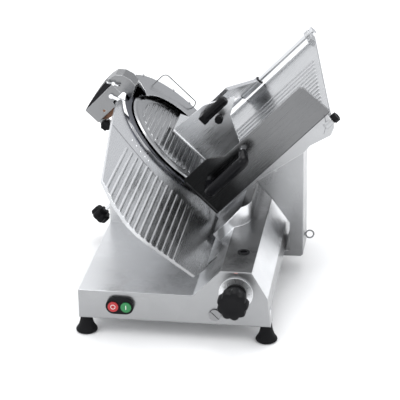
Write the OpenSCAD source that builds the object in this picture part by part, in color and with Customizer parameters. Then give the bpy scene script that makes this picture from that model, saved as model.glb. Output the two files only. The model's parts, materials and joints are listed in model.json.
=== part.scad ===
// Gravity-feed deli slicer with a 300 mm blade, manual carriage and built-on sharpener.
// Machine frame: X to the right along the front panel, Y back from the operator, Z up.
// Sizes inside the modules are measured from the bottom left front corner of the base.

/* [Base] */
// Width of the base along the front panel
base_w = 370; // [350:1:390]
// Length of the base from front to back
base_l = 500; // [480:1:520]
// Height of the low shelf that receives the slices
shelf_h = 58; // [54:1:62]
// Height of the raised part that carries the dial
top_h = 112; // [108:1:116]
// Height of the rubber feet
foot_h = 37; // [30:1:45]
// Wall thickness of the castings
wall = 5; // [4:0.5:6]

/* [Blade] */
// Diameter of the blade
blade_d = 300; // [290:1:302]
// Slope of the tray above the table, square to the blade
slope = 45.5; // [45:0.1:46]
// Diameter of the blade cover
cover_d = 254; // [240:1:256]

/* [Slice thickness] */
// How far the gauge plate stands back from the blade plane
slice_gap = 4; // [3:0.5:5]
// Diameter of the graduated dial
dial_face_d = 65; // [60:1:68]
// Diameter of the lobed knob
knob_d = 60; // [50:1:62]

/* [Carriage] */
// Length of the tray along its slope
tray_l = 320; // [315:1:325]
// Width of the ribbed tray floor
floor_w = 308; // [300:1:310]
// Height of the operator-side tray wall
tray_wall_h = 76; // [70:1:80]

/* [Hidden] */

$fn = 64;
fit_gap = 0.05;   // radial play of shafts and screws in their holes

// Base outline
ramp_foot_x = 222;
ramp_top_x = ramp_foot_x + (top_h - shelf_h) / tan(slope);
top_right_x = 334;
shoulder_x = 364;
shoulder_h = 59;
foot_inset = 10;
foot_r = 21;

// The tilted frame has x down the blade plane, y back and z along the tray's slope.
function slope_n(x, z) = x * cos(slope) + z * sin(slope);
function slope_d(x, z) = x * sin(slope) - z * cos(slope);
function tilt_x(n, d) = n * cos(slope) + d * sin(slope);
ramp_d = slope_d(ramp_foot_x, shelf_h);   // depth of the ramp surface in the tilted frame
ramp_n0 = slope_n(ramp_foot_x, shelf_h);

// Blade axis and the stack of parts along it
blade_r = blade_d / 2;
axis_d = -47;
axis_y = 440;
edge_n = 229.5;          // plane of the cutting edge
blade_back_n = 221;
blade_face_n = 225;
cover_n = 232.5;         // front of the blade cover
hub_flange_n = 216;
housing_n = 204;         // front of the housing behind the blade
sleeve_n0 = 160;
sleeve_n1 = 214;
bearing_r = 21;
knob_n = -28;            // knob that holds the blade cover
belt_n0 = 142;
belt_n1 = 157;
tie_rod_r = 4;
shaft_r = 10;
hub_pulley_r = 45;
motor_pulley_r = 16;
motor_d = 10;            // motor axis in the tilted frame
motor_y = 368;
motor_r = 41;
belt_run = [motor_d - axis_d, motor_y - axis_y];
belt_span = norm(belt_run);
belt_lean = asin((hub_pulley_r - motor_pulley_r) / belt_span);
housing_top = 212;
housing_y0 = 318;

// Guard round the far side of the blade
guard_n = 244;
guard_r = 174;
guard_in_r = 116;
guard_a0 = 85;           // end by the pusher rod
guard_a1 = 160;          // end by the sharpener
guard_screw_angles = [96, 112, 145];
wire_r = 1.3;
wire_rim_r = 170;
wire_a0 = 92;
wire_a1 = 129;
wire_bend = 15;
wire_top_n = 270;

// Gauge plate
gauge_plate_t = 6;
rib_h = 2;
sheet_n = edge_n - slice_gap - rib_h;   // flat face between the ribs
bolt_places = [[86, 80], [86, 145]];
rib_pitch = 14;
plate_right_d = 95;
guide_d = 132;           // guide rod under the ramp
guide_y = 112;
guide_r = 5;

// Dial
dial_x = 304.3;
dial_z = 68.8;
dial_t = 4;
knob_reach = 60;         // how far the knob stands out of the front panel
knob_t = 26;

dial_d = slope_d(dial_x, dial_z);
dial_n = slope_n(dial_x, dial_z);

// Cam and roller that move the gauge plate
cam_y0 = 88;
cam_t = 8;
cam_step = 7.5;
cam_rest_r = 21.5;       // radius that the roller touches at rest
cam_rise = 0.05;         // growth in mm for each degree of turn
roller_r = 4;
roller_n = dial_n - cam_rest_r - 0.3 - roller_r;
function cam_radius(a) = cam_rest_r + cam_rise * a;

// Slide rod of the carriage
rod_x = 264;
rod_z = 20.5;
rod_r = 8;

// Tray
tray_n0 = 235;
tray_n1 = tray_n0 + tray_l;
wall_y = 281;
crease_d = 90;
floor_tilt = 14.6;
floor_t = 5;
rail_y = 590;            // pusher rod
rail_d = 1;
rail_r = 5.5;
frame_rib_places = [tray_n0 + 150, tray_n0 + 222, tray_n1 - 14];
arm_y0 = 300;
arm_y1 = 380;
tray_knob_d = 107;
tray_knob_n = 549;
tray_knob_r = 10;
grip_d = 38;             // hand grip in front of the tray wall
grip_y = 232;
grip_n0 = 279;
grip_n1 = 376;
grip_r = 11.5;
ring_y = 330;
ring_z = 47;
ring_r = 8;

// Sharpener
sharp_y0 = 424;
sharp_y1 = 464;
sharp_n0 = 141;
sharp_top_d = -232;
post_y = 452;
post_n = 180;
post_r = 7;
stone_d = -204;
stone_n = 170;
stone_r = 20;

// Pusher
pusher_n = 250;
pusher_y0 = 405;
bush_n0 = 350;
bush_n1 = 400;
grip_stud_d = -32;
grip_stud_n = 349;

// The frame's origin lies under the middle of the machine's own box, seen from above.
// Its left end is the sharpener's corner, its right end the knob on the tray.
mid_x = (tilt_x(sharp_n0, sharp_top_d) + tilt_x(tray_knob_n + 12, tray_knob_d) + tray_knob_r * sin(slope)) / 2;
mid_y = (axis_y + guard_r - knob_reach) / 2;

/* ---------- placing ---------- */

module machine() translate([-mid_x, -mid_y, foot_h]) children();

module tilted() rotate([0, 90 - slope, 0]) children();

module at_axis(n = 0) tilted() translate([axis_d, axis_y, n]) children();

// A shape drawn in the XZ plane, pushed back along Y
module along_y(y0, y1) translate([0, y1, 0]) rotate([90, 0, 0]) linear_extrude(y1 - y0) children();

// A shape drawn in the tilted frame with x down the blade plane and y along the slope
module tilted_side(y0, y1) tilted() along_y(y0, y1) children();

module y_rod(x, z, r, y0, y1) translate([x, y0, z]) rotate([-90, 0, 0]) cylinder(h = y1 - y0, r = r);

module ring(r_out, r_in, h) difference() {
    cylinder(h = h, r = r_out);
    translate([0, 0, -1]) cylinder(h = h + 2, r = r_in);
}

// Knob with broad round lobes, made by cutting hollows into its rim
module lobed_knob(r, lobes, h) difference() {
    cylinder(h = h, r = r);
    for (i = [0 : lobes - 1]) rotate((i + 0.5) * 360 / lobes)
        translate([r * 1.14, 0, -1]) cylinder(h = h + 2, r = r * 0.24, $fn = 32);
}

module stadium(length, r) {
    square([length, 2 * r], center = true);
    for (s = [-1, 1]) translate([s * length / 2, 0]) circle(r = r);
}

/* ---------- base ---------- */

module base_outline() polygon([
    [0, 0], [base_w, 0], [shoulder_x, shoulder_h], [top_right_x, top_h],
    [ramp_top_x, top_h], [ramp_foot_x, shelf_h], [0, shelf_h],
]);

module base_hollow() polygon([
    [wall, -1], [base_w - wall, -1], [shoulder_x - wall, shoulder_h - 2], [top_right_x - 3, top_h - wall],
    [ramp_top_x + 2, top_h - wall], [ramp_foot_x + 2, shelf_h - wall], [wall, shelf_h - wall],
]);

// Rounded block under the tray that stiffens the ramp
module ramp_block() intersection() {
    union() {
        translate([250, 251, 60]) cylinder(h = 130, r = 55);
        translate([195, 251, 60]) cube([110, base_l - 251, 130]);
    }
    tilted_side(150, base_l) polygon([
        [99, 231.5], [ramp_d + 2, 231.5], [ramp_d + 2, ramp_n0 + 78], [190, 268], [190, 330], [99, 330],
    ]);
    translate([0, 0, top_h - 60]) cube([base_w, base_l, 100]);
}

foot_places = [for (x = [foot_inset, base_w - foot_inset]) for (y = [18, base_l - 18]) [x, y]];
screw_places = [for (x = [60, 180]) for (y = [10, base_l - 10]) [x, y]];

module base_casting() color("silver") {
    difference() {
        union() {
            difference() {
                along_y(0, base_l) base_outline();
                along_y(wall, base_l - wall) base_hollow();
            }
            ramp_block();
            for (p = foot_places) translate([p[0], p[1], 0]) cylinder(h = 30, r = 9);
            for (p = screw_places) translate([p[0], p[1], 2.2]) cylinder(h = 16, r = 6);
            for (y = [2, base_l - 27]) y_rod(rod_x, rod_z, 15, y, y + 25);
            guide_lugs();
        }
        // Stud holes, cover screw holes
        for (p = foot_places) translate([p[0], p[1], -1]) cylinder(h = 22, r = 4 + fit_gap);
        for (p = screw_places) translate([p[0], p[1], -1]) cylinder(h = 15, r = 2 + fit_gap);
        // Slide rod bore, open at the front and shut by the plug
        y_rod(rod_x, rod_z, rod_r + fit_gap, -1, base_l - 6);
        y_rod(rod_x, rod_z, 11.5 + fit_gap, -1, 4);
        // Dial shaft
        y_rod(dial_x, dial_z, 6 + fit_gap, -1, 30);
        // Switch opening
        translate([81.5, 2, 31]) cube([44, 20, 20], center = true);
        // Slot for the neck of the gauge arm
        tilted() translate([100, guide_y - 6, 191]) cube([30, 12, 50]);
        // Gauge guide rod
        tilted() translate([guide_d, guide_y, 166]) cylinder(h = 95, r = guide_r + fit_gap);
        // Oil filler
        translate([308, 89, 90]) cylinder(h = 40, r = 10 + fit_gap);
        // Opening under the blade housing for the motor and the cover rod
        translate([wall + 3, 324, shelf_h - 12]) cube([198, base_l - 324 - 8, 20]);
        // Low edge of the right wall, where the foot of the carriage passes under
        translate([base_w - 20, 30, -1]) cube([40, base_l - 60, 27]);
        // Cable gland
        y_rod(40, 30, 8 + fit_gap, base_l - 20, base_l + 5);
    }
}

// Two lugs inside that hold the guide rod of the gauge arm
module guide_lugs() tilted() {
    translate([89.5, guide_y - 10, 163]) cube([52, 20, 6]);
    translate([ramp_d + 1, guide_y - 10, 258]) cube([24, 20, 6]);
}

module base_plate() color("gainsboro") difference() {
    translate([wall + 1, wall + 1, 0]) cube([base_w - 120 - 2 * wall, base_l - 2 * wall - 2, 2]);
    translate([rod_x - 24, wall, -1]) cube([60, base_l, 4]);
    for (p = screw_places) translate([p[0], p[1], -1]) cylinder(h = 4, r = 2.2);
    for (p = foot_places) translate([p[0], p[1], -1]) cylinder(h = 4, r = 13);
}

module screw(r, length) {
    cylinder(h = length, r = r);
    translate([0, 0, length]) cylinder(h = r, r = 2 * r);
}

// Screws of the base plate and of the blade guard
module case_screws() color("gray") {
    for (p = screw_places) translate([p[0], p[1], 14]) mirror([0, 0, 1]) screw(2, 14);
    at_axis(guard_n - 8) for (a = guard_screw_angles) rotate(a) translate([guard_r - 3, 0, 0]) screw(1.5, 8);
}

module rubber_feet() color("black") for (p = foot_places) translate([p[0], p[1], -foot_h]) difference() {
    rotate_extrude() polygon([
        [0, 0], [17, 0], [foot_r - 1, 2], [foot_r, 5], [18, 11], [14, 18], [11.5, 26], [10.5, foot_h],
        [0, foot_h],
    ]);
    translate([0, 0, 12]) cylinder(h = foot_h, r = 4 + fit_gap);
}

module foot_studs() color("gray") for (p = foot_places) translate([p[0], p[1], -foot_h + 12])
    cylinder(h = foot_h + 7, r = 4);

/* ---------- front panel ---------- */

switch_x = 81.5;
switch_z = 31;
button_x = [69, 94];

module switch_housing() color("black") difference() {
    union() {
        translate([switch_x, 0, switch_z]) rotate([90, 0, 0]) linear_extrude(9) stadium(22, 16);
        translate([switch_x, 7, switch_z]) cube([43, 14, 19], center = true);
    }
    for (x = button_x) y_rod(x, switch_z - 0.5, 10.6, -10, -1);
    for (x = button_x) y_rod(x, switch_z - 0.5, 4.1, -2, 20);
}

module push_button(x) {
    y_rod(x, switch_z - 0.5, 10.2, -11, -5);
    y_rod(x, switch_z - 0.5, 4, -5, 15);
}

module stop_button() color("firebrick") push_button(button_x[0]);

module start_button() color("darkgreen") push_button(button_x[1]);

module switch_block() color("dimgray") difference() {
    translate([switch_x, 32, switch_z]) cube([48, 26, 36], center = true);
    for (x = button_x) y_rod(x, switch_z - 0.5, 5, 10, 24);
}

module dial_disc() color("silver") difference() {
    y_rod(dial_x, dial_z, dial_face_d / 2, -dial_t, -0.3);
    y_rod(dial_x, dial_z, 5, -10, 1);
}

// Lobed disc on a tapered neck
module thickness_knob() color("black") difference() {
    translate([dial_x, -dial_t, dial_z]) rotate([90, 0, 0]) {
        cylinder(h = 4, r = 21);
        translate([0, 0, 4]) cylinder(h = 26, r1 = 18, r2 = 23);
        translate([0, 0, knob_reach - dial_t - knob_t]) lobed_knob(knob_d / 2, 9, knob_t);
    }
    y_rod(dial_x, dial_z, 5, -40, 1);
}

module dial_shaft() color("gray") {
    y_rod(dial_x, dial_z, 5, -40, 0);
    y_rod(dial_x, dial_z, 6, 0, cam_y0 + cam_t + 3);
}

module rod_plug() color("silver") difference() {
    y_rod(rod_x, rod_z, 11.5, -4, 4);
    translate([rod_x, -4, rod_z]) rotate([0, 45, 0]) cube([30, 4, 2.4], center = true);
}

module oil_cap() color("black") difference() {
    union() {
        translate([308, 89, top_h - wall]) cylinder(h = wall, r = 10);
        translate([308, 89, top_h]) cylinder(h = 1.2, r = 12);
    }
    translate([308, 89, top_h - 2]) cylinder(h = 5, r = 7);
}

module cable_gland() color("black") translate([40, base_l, 30]) rotate([-90, 0, 0]) difference() {
    union() {
        translate([0, 0, -12]) cylinder(h = 12, r = 8);
        cylinder(h = 6, r = 12, $fn = 6);
        translate([0, 0, 6]) cylinder(h = 10, r = 9);
    }
    translate([0, 0, -13]) cylinder(h = 40, r = 4.5);
}

/* ---------- gauge plate ---------- */

module gauge_outline() difference() {
    polygon([
        [plate_right_d, 15], [-17, -18], [-46, -23], [-73, -19], [-115, 4], [-154, 45],
        [-193, 288], [-204, 384], [-200, 402], [axis_d, axis_y], [plate_right_d, 396],
    ]);
    translate([axis_d, axis_y]) circle(r = blade_r + 2.5, $fn = 128);
}

module gauge_ribs() intersection() {
    translate([0, 0, sheet_n - 1]) linear_extrude(5) gauge_outline();
    for (i = [0 : 13]) translate([42 - i * rib_pitch, -30, sheet_n - 1.5])
        rotate([-90, 0, 0]) cylinder(h = 268, r = 3.5, $fn = 32);
}

// Lower strip along the right edge, with a round far corner
module gauge_flange() translate([0, 0, sheet_n - gauge_plate_t]) linear_extrude(4) difference() {
    union() {
        polygon([
            [plate_right_d, 15], [plate_right_d + 17, 72], [plate_right_d + 17, 290],
            [plate_right_d, 304],
        ]);
        translate([plate_right_d + 5, 292]) circle(r = 12);
    }
    translate([plate_right_d - 30, 0]) square([30, 400]);
}

module gauge_plate() color("silver") tilted() difference() {
    union() {
        translate([0, 0, sheet_n - gauge_plate_t]) linear_extrude(gauge_plate_t) gauge_outline();
        gauge_ribs();
        gauge_flange();
    }
    for (p = bolt_places) translate([p[0], p[1], sheet_n - gauge_plate_t - 1])
        cylinder(h = 5, r = 2.5 + fit_gap);
}

// Bar behind the plate, neck through the ramp, slider on the guide rod, lever to the cam
module gauge_arm() color("lightgray") difference() {
    union() {
        tilted() {
            translate([76, 66, sheet_n - gauge_plate_t - 14]) cube([30, 210, 14]);
            translate([100, guide_y - 4, 206]) cube([guide_d - 102, 8, sheet_n - gauge_plate_t - 206]);
            translate([guide_d, guide_y, 202]) cylinder(h = 22, r = 8.5);
        }
        tilted_side(guide_y - 12, guide_y - 4) polygon([
            [guide_d - 8, 204], [guide_d + 8, 204], [dial_d + 5, roller_n - 5],
            [dial_d + 5, roller_n + 6], [dial_d - 8, roller_n + 6], [guide_d - 8, 222],
        ]);
    }
    tilted() translate([guide_d, guide_y, 190]) cylinder(h = 40, r = guide_r + fit_gap);
    tilted() translate([dial_d, guide_y - 13, roller_n]) rotate([-90, 0, 0]) cylinder(h = 10, r = 2 + fit_gap);
    for (p = bolt_places) tilted() translate([p[0], p[1], 190]) cylinder(h = 40, r = 2.5 + fit_gap);
}

module gauge_guide_rod() color("gray") tilted() translate([guide_d, guide_y, 166])
    cylinder(h = 95, r = guide_r);

module gauge_bolts() color("gray") tilted() for (p = bolt_places) translate([p[0], p[1], 0]) {
    translate([0, 0, sheet_n - gauge_plate_t - 18]) cylinder(h = 4, r = 5);
    translate([0, 0, sheet_n - gauge_plate_t - 14]) cylinder(h = 17.5, r = 2.5);
}

// Roller that rides on the cam, with its pin
module cam_roller() color("gray") tilted() translate([dial_d, 0, roller_n]) rotate([-90, 0, 0]) {
    translate([0, 0, cam_y0 - 1]) cylinder(h = cam_t + 1.5, r = roller_r);
    translate([0, 0, cam_y0 + cam_t]) cylinder(h = guide_y - 6 - cam_y0 - cam_t, r = 2);
}

// Spiral cam: its radius grows evenly with the turn, so the plate moves evenly with the dial
module gauge_cam() color("gray") difference() {
    translate([dial_x, cam_y0 + cam_t, dial_z]) rotate([90, 0, 0]) linear_extrude(cam_t)
        rotate(180 + slope) polygon([
            for (a = [-90 : cam_step : 270]) cam_radius(a) * [cos(a), sin(a)],
        ]);
    y_rod(dial_x, dial_z, 6, cam_y0 - 1, cam_y0 + cam_t + 1);
}

/* ---------- blade and drive ---------- */

// Height at which the top of the housing meets its sloping front
function housing_front_x(z, back) = (housing_n - back - z * sin(slope)) / cos(slope);

module housing_outline(inset = 0) polygon([
    [inset, shelf_h - (inset > 0 ? 1 : 0)],
    [inset, 178 - inset * 0.6],
    [housing_front_x(housing_top, 0) - 14, housing_top - inset],
    [housing_front_x(housing_top - inset, inset), housing_top - inset],
    [housing_front_x(78, inset), 78],
    [housing_front_x(78, 0) - inset, shelf_h - (inset > 0 ? 1 : 0)],
]);

module blade_housing() color("gainsboro") difference() {
    union() {
        difference() {
            along_y(housing_y0, base_l) housing_outline();
            along_y(housing_y0 + wall, base_l - wall) housing_outline(wall);
        }
        at_axis(sleeve_n0) cylinder(h = sleeve_n1 - sleeve_n0, r = 27);
    }
    at_axis(sleeve_n0 - 1) cylinder(h = 80, r = 16);
    at_axis(sleeve_n0 - 1) cylinder(h = 13, r = bearing_r + fit_gap);
    at_axis(sleeve_n1 - 12) cylinder(h = 20, r = bearing_r + fit_gap);
    at_axis(0) cylinder(h = 150, r = tie_rod_r + 1);
}

module hub_bearings() color("gray") for (n = [sleeve_n0, sleeve_n1 - 12]) at_axis(n)
    ring(bearing_r, shaft_r + fit_gap, 12);

module hub_screw_places() for (i = [0 : 3]) rotate(45 + i * 90) translate([34, 0, 0]) children();

module blade_hub() color("gray") difference() {
    union() {
        at_axis(belt_n0) cylinder(h = hub_flange_n - belt_n0, r = shaft_r);
        at_axis(hub_flange_n) cylinder(h = blade_back_n - hub_flange_n, r = 45);
        at_axis(belt_n0) cylinder(h = belt_n1 - belt_n0, r = hub_pulley_r);
    }
    at_axis(belt_n0 - 1) cylinder(h = 90, r = tie_rod_r + 1.5);
    at_axis(hub_flange_n - 1) hub_screw_places() cylinder(h = 10, r = 2.5 + fit_gap);
}

// Hollow-ground blade: bevelled rim, flat middle
module blade() color("dimgray") at_axis() difference() {
    rotate_extrude($fn = 128) polygon([
        [18, blade_back_n], [120, blade_back_n], [blade_r - 0.2, edge_n - 1], [blade_r, edge_n - 0.2],
        [blade_r - 0.4, edge_n], [cover_d / 2 + 3, edge_n - 2.5], [cover_d / 2 + 2, blade_face_n],
        [18, blade_face_n],
    ]);
    translate([0, 0, blade_back_n - 1]) hub_screw_places() cylinder(h = 10, r = 2.5 + fit_gap);
}

module blade_screws() color("gray") at_axis() hub_screw_places() {
    translate([0, 0, hub_flange_n]) cylinder(h = blade_face_n - hub_flange_n, r = 2.5);
    translate([0, 0, blade_face_n]) cylinder(h = 1.8, r = 4.5);
}

module blade_cover() color("silver") at_axis() difference() {
    union() {
        rotate_extrude($fn = 128) polygon([
            [0, blade_face_n + 3], [cover_d / 2 - 3, blade_face_n + 3], [cover_d / 2, blade_face_n + 4],
            [cover_d / 2, cover_n - 3], [cover_d / 2 - 4, cover_n - 0.8], [cover_d / 2 - 10, cover_n],
            [cover_d / 2 - 22, cover_n - 1.5], [0, cover_n - 1.5],
        ]);
        intersection() {
            translate([0, 0, cover_n - 4]) cylinder(h = 4, r = cover_d / 2 - 26);
            for (i = [-8 : 8]) translate([i * 12, -120, cover_n - 3]) rotate([-90, 0, 0])
                cylinder(h = 240, r = 3, $fn = 32);
        }
    }
    translate([0, 0, blade_face_n]) cylinder(h = 6, r = tie_rod_r + fit_gap);
}

module cover_rod() color("silver") at_axis(knob_n + 26)
    cylinder(h = blade_face_n + 5.5 - knob_n - 26, r = tie_rod_r);

module cover_knob() color("black") at_axis(knob_n) {
    lobed_knob(20, 7, 20);
    translate([0, 0, 20]) cylinder(h = 6, r = 9);
}

module motor() color("dimgray") tilted() translate([motor_d, motor_y, 62]) {
    cylinder(h = 70, r = motor_r);
    translate([0, 0, 70]) cylinder(h = 6, r = 18);
    for (a = [0 : 30 : 330]) rotate(a) translate([motor_r - 1, -1.5, 8]) cube([3, 3, 54]);
}

module motor_pulley() color("gray") tilted() translate([motor_d, motor_y, 0]) {
    translate([0, 0, belt_n0]) cylinder(h = belt_n1 - belt_n0, r = motor_pulley_r);
    translate([0, 0, 138.3]) cylinder(h = belt_n0 - 138.3, r = 6);
}

// Solid inside a belt stretched round both pulleys, grown by t.
// The straight runs lie a hair inside the tangents, so that they cross the pulleys' circles.
module belt_loop(t, h) rotate(atan2(belt_run[1], belt_run[0])) {
    cylinder(h = h, r = hub_pulley_r + t);
    translate([belt_span, 0, 0]) cylinder(h = h, r = motor_pulley_r + t);
    linear_extrude(h) polygon([
        for (p = [[hub_pulley_r, 0, 1], [motor_pulley_r, belt_span, 1], [motor_pulley_r, belt_span, -1],
                  [hub_pulley_r, 0, -1]])
            let (r = p[0] + t - 0.03) [p[1] + r * sin(belt_lean), p[2] * r * cos(belt_lean)],
    ]);
}

module drive_belt() color("black") at_axis(belt_n0 + 1) difference() {
    belt_loop(3, belt_n1 - belt_n0 - 2);
    translate([0, 0, -1]) belt_loop(0.3, belt_n1 - belt_n0);
}

/* ---------- shroud and guard ---------- */

// Pie slice between two angles, drawn square to the blade axis
module sector(a0, a1, r) polygon([
    [0, 0], for (i = [0 : 8]) let (a = a0 + (a1 - a0) * i / 8) [r * cos(a), r * sin(a)],
]);

module blade_shroud() color("gainsboro") difference() {
    at_axis(housing_n) {
        cylinder(h = 6, r = 104);
        linear_extrude(6) intersection() {
            circle(r = guard_r, $fn = 128);
            sector(guard_a0, guard_a1, 240);
        }
        linear_extrude(guard_n - 4 - housing_n) intersection() {
            difference() {
                circle(r = guard_r, $fn = 128);
                circle(r = guard_r - 6, $fn = 128);
            }
            sector(guard_a0, guard_a1, 240);
        }
    }
    at_axis(housing_n - 1) cylinder(h = 10, r = 27 + fit_gap);
    at_axis(guard_n - 12) for (a = guard_screw_angles) rotate(a) translate([guard_r - 3, 0, 0])
        cylinder(h = 10, r = 1.5 + fit_gap);
}

module blade_guard() color("silver") at_axis(guard_n - 4) difference() {
    intersection() {
        rotate_extrude($fn = 128) polygon([
            [guard_in_r, 0], [guard_r, 0], [guard_r, 1], [guard_r - 3, 4], [guard_in_r + 12, 4],
            [guard_in_r, 1.5],
        ]);
        translate([0, 0, -1]) linear_extrude(10) difference() {
            sector(guard_a0, 175, 240);
            // The end by the sharpener is cut straight
            polygon([[-90, 20], [-140, 55], [-200, 97], [-230, 97], [-230, -20], [-90, -20]]);
        }
    }
    for (a = guard_screw_angles) rotate(a) translate([guard_r - 3, 0, -1]) cylinder(h = 8, r = 1.5 + fit_gap);
}

// Bent wire on the guard: up, over in an arc, down the slope and back to the guard.
// A ball a little thicker than the wire joins each straight stretch to the next.
wire_span = 2 * wire_rim_r * sin((wire_a1 - wire_a0) / 2);
wire_points = [
    [0, guard_n],
    for (a = [180 : -20 : 80]) [wire_bend + wire_bend * cos(a), wire_top_n - wire_bend + wire_bend * sin(a)],
    [wire_span - 5, wire_top_n - 13],
    [wire_span, wire_top_n - 20],
    [wire_span, guard_n],
];
wire_last = len(wire_points) - 1;
wire_ball_r = wire_r + 0.3;

module guard_wire() color("gray") at_axis() rotate((wire_a0 + wire_a1) / 2)
    translate([wire_rim_r * cos((wire_a1 - wire_a0) / 2), wire_span / 2, 0]) {
        for (i = [1 : wire_last])
            wire_stretch(wire_points[i - 1], wire_points[i], i == 1 ? 0 : 0.7, i == wire_last ? 0 : 0.7);
        for (i = [1 : wire_last - 1]) translate([0, -wire_points[i][0], wire_points[i][1]])
            sphere(r = wire_ball_r);
    }

// Straight stretch of wire from p to q, cut short at either end, inside the ball there
module wire_stretch(p, q, cut_p, cut_q) translate([0, -p[0], p[1]])
    rotate([atan2(q[0] - p[0], q[1] - p[1]), 0, 0]) translate([0, 0, cut_p])
        cylinder(h = norm(q - p) - cut_p - cut_q, r = wire_r);

/* ---------- sharpener ---------- */

// Boss on the blade housing and the post that the sharpener slides on
module sharpener_bracket() color("silver") {
    difference() {
        tilted() translate([-135, post_y - 14, 166]) cube([45, 28, 28]);
        along_y(housing_y0, base_l) housing_outline();
    }
    tilted() translate([-226, post_y, post_n]) rotate([0, 90, 0]) cylinder(h = 92, r = post_r);
}

// Outline of the sharpener seen along the post, rounded at its back
module sharpener_plan() tilted() translate([-260, 0, 0]) rotate([90, 0, 90]) linear_extrude(100) polygon([
    [sharp_y0, sharp_n0], [sharp_y0 + 16, sharp_n0 + 3], [sharp_y0 + 28, sharp_n0 + 12],
    [sharp_y0 + 36, sharp_n0 + 27], [sharp_y1, sharp_n0 + 49], [sharp_y1, 270], [sharp_y0, 270],
]);

module sharpener_housing() color("silver") difference() {
    union() {
        intersection() {
            tilted_side(sharp_y0, sharp_y1) polygon([
                [sharp_top_d, sharp_n0], [-195, sharp_n0], [-195, 196], [-205, 198], [-205, 225],
                [sharp_top_d, 225],
            ]);
            sharpener_plan();
        }
        // Lug of the clamping knob
        tilted_side(sharp_y0 + 6, sharp_y0 + 14) polygon([[-196, 141], [-172, 141], [-172, 159], [-196, 159]]);
    }
    tilted() translate([-227, post_y, post_n]) rotate([0, 90, 0]) cylinder(h = 60, r = post_r + fit_gap);
    tilted() translate([stone_d, sharp_y0 + 4, stone_n]) rotate([-90, 0, 0]) cylinder(h = 14, r = stone_r + 2);
    tilted() translate([stone_d, sharp_y0 - 1, stone_n]) rotate([-90, 0, 0]) cylinder(h = 21, r = 3 + fit_gap);
    tilted() translate([-180, sharp_y0, 150]) rotate([-90, 0, 0]) cylinder(h = 20, r = 3 + fit_gap);
}

// Front casting over the blade's rim, with a pocket for the deburring stone
module sharpener_head() color("silver") difference() {
    tilted_side(sharp_y0, sharp_y1) polygon([
        [-207, 225], [-203, 231.5], [-182, 231.5], [-196, 259], [-213, 261], [-230, 256],
        [-242, 245], [-245, 228], [-245, 225],
    ]);
    tilted() translate([-211, post_y - 8, 230]) cylinder(h = 16, r = 10);
    tilted() translate([-211, post_y - 8, 245]) cylinder(h = 13, r = 3 + fit_gap);
}

// Dark rounded cover along the top
module sharpener_cap() color("dimgray") intersection() {
    tilted_side(sharp_y0, sharp_y1) polygon([
        [sharp_top_d, sharp_n0], [sharp_top_d, 225], [-245, 225], [-244.5, 207], [-242, 188],
        [-238.5, 168], [-235, 152],
    ]);
    sharpener_plan();
}

module sharpening_stone() color("saddlebrown") tilted() translate([stone_d, 0, stone_n]) rotate([-90, 0, 0]) {
    translate([0, 0, sharp_y0 + 6]) cylinder(h = 10, r = stone_r);
    translate([0, 0, sharp_y0]) cylinder(h = 20, r = 3);
}

module deburring_stone() color("saddlebrown") tilted() translate([-211, post_y - 8, 0]) {
    translate([0, 0, 234]) cylinder(h = 11, r = 9);
    translate([0, 0, 245]) cylinder(h = 12, r = 3);
}

module sharpener_knob() color("black") tilted() translate([-180, sharp_y0 + 5.5, 150]) rotate([90, 0, 0]) {
    lobed_knob(11, 7, 15);
    translate([0, 0, -8]) cylinder(h = 8, r = 3);
}

module wing_nut() color("silver") tilted() translate([-232, sharp_y0 - 0.3, 231]) rotate([90, 0, 0]) {
    cylinder(h = 7, r = 4);
    for (s = [-1, 1]) rotate(30) translate([s * 8, 0, 6]) rotate([0, s * -25, 0])
        cube([12, 2.4, 7], center = true);
}

// Lever that presses the deburring stone on to the blade
module stone_lever() color("gray") tilted() translate([-216, sharp_y0 - 0.3, 206])
    rotate([90, 0, 0]) rotate(21) {
    cylinder(h = 4, r = 5);
    translate([0, -3.5, 0]) cube([34, 7, 3.5]);
    translate([34, 0, 0]) cylinder(h = 3.5, r = 3.5);
}

/* ---------- carriage ---------- */

// Frame of the tray floor: x down through the floor, y across it, z along the slope
module floor_frame() tilted() translate([crease_d, wall_y + 4, 0]) rotate(floor_tilt) children();

rail_over = (rail_d - crease_d) * cos(floor_tilt) + (rail_y - wall_y - 4) * sin(floor_tilt);
rail_across = -(rail_d - crease_d) * sin(floor_tilt) + (rail_y - wall_y - 4) * cos(floor_tilt);

// Lug at the far edge of the floor that holds one end of the pusher rod
module rail_lug(n, h) difference() {
    union() {
        floor_frame() translate([rail_over, floor_w - 14, n])
            cube([floor_t - rail_over, rail_across - floor_w + 14, h]);
        tilted() translate([rail_d, rail_y, n]) cylinder(h = h, r = 9.5);
    }
    tilted() translate([rail_d, rail_y, n - 1]) cylinder(h = h + 2, r = rail_r + fit_gap);
}

module tray_floor() color("silver") {
    floor_frame() {
        translate([0, 0, tray_n0]) cube([floor_t, floor_w, tray_l]);
        for (i = [0 : 14]) translate([0, 16 + i * 15, tray_n0 + 12])
            cylinder(h = tray_l - 24, r = 2.5, $fn = 32);
    }
    rail_lug(tray_n0, 10);
    rail_lug(tray_n1 - 12, 12);
}

module wall_outline() polygon([
    [crease_d, tray_n0], [-1, tray_n0], [-5, tray_n0 + 3], [-7, tray_n0 + 8], [-7, tray_n0 + 73],
    [crease_d - tray_wall_h, tray_n0 + 103], [crease_d - tray_wall_h, tray_n1 - 6],
    [crease_d - tray_wall_h + 6, tray_n1], [crease_d, tray_n1 + 4],
]);

module tray_wall() color("silver") {
    tilted_side(wall_y, wall_y + 4) wall_outline();
    // Rolled lip on the edge by the blade
    tilted() translate([1, wall_y + 2, tray_n0 + 3]) rotate([0, 90, 0]) cylinder(h = crease_d - 1, r = 3);
}

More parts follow.
